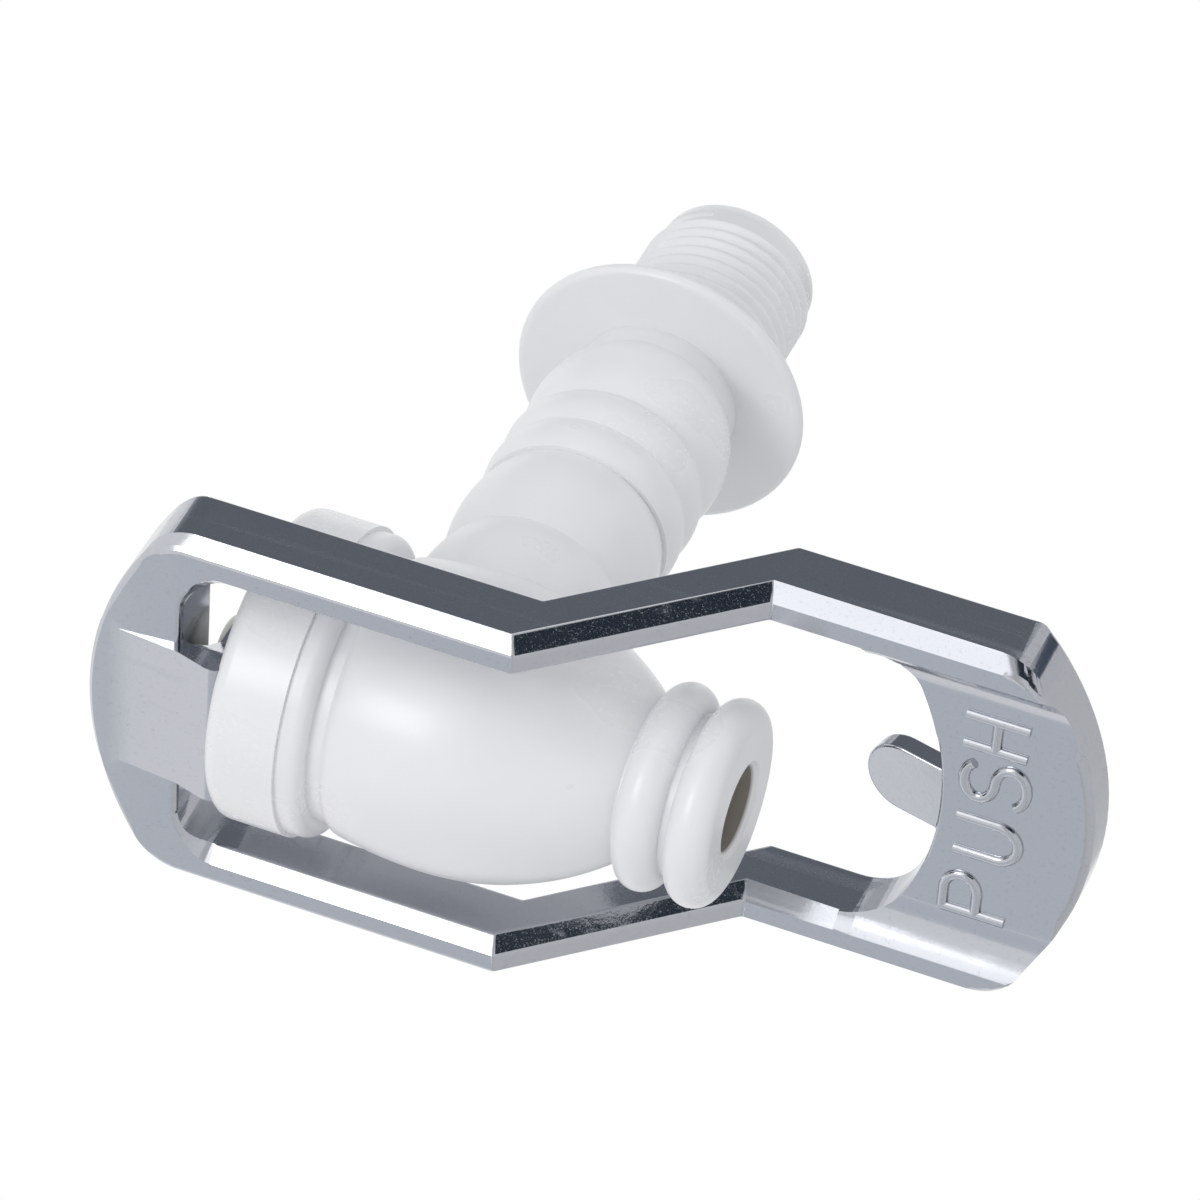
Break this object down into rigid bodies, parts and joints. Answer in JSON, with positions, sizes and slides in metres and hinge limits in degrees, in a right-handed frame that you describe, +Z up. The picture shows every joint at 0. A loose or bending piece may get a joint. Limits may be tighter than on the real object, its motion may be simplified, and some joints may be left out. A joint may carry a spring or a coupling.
{
  "type": "push lever water spigot",
  "caption": "White plastic spigot with a wall thread, flange, turned shank and barrel, opened by pushing back the chrome loop lever in front of it.",
  "frame": {"origin": "centre of the wall flange's back face, on the thread's axis", "axes": "+Y along the wall thread away from the barrel, +Z up towards the bonnet, +X to the right for someone facing the lever"},
  "size_m": [0.0506, 0.1052, 0.1103],
  "materials": {
    "body_plastic": "moulded, satin gloss",
    "bonnet_plastic": "moulded, satin gloss",
    "silicone": "moulded silicone",
    "stem_plastic": "moulded, self-coloured",
    "spring_steel": "drawn stainless wire",
    "lever_chrome": "cast, polished and chromed"
  },
  "bodies": {
    "housing": {"faucet_body": "body_plastic", "bonnet": "bonnet_plastic", "seat_cup": "silicone", "spring": "spring_steel"},
    "valve_stem": {"stem": "stem_plastic"},
    "handle": {"lever": "lever_chrome"}
  },
  "joints": [
    {"name": "lever_swing", "type": "hinge", "parent": "housing", "child": "handle", "pos_m": [0, -0.0761, 0.02298], "axis": [1, 0, 0], "range_deg": [0, 13]},
    {"name": "stem_lift", "type": "slide", "parent": "housing", "child": "valve_stem", "axis": [0, 0, 1], "range_m": [0, 0.0037], "stiffness_N_per_m": 2500, "springref_m": -0.005, "deforming": ["spring", "seat_cup"]}
  ],
  "couplings": [
    {"joint": "stem_lift", "follows": "lever_swing", "m_per_rad": 0.0162}
  ]
}
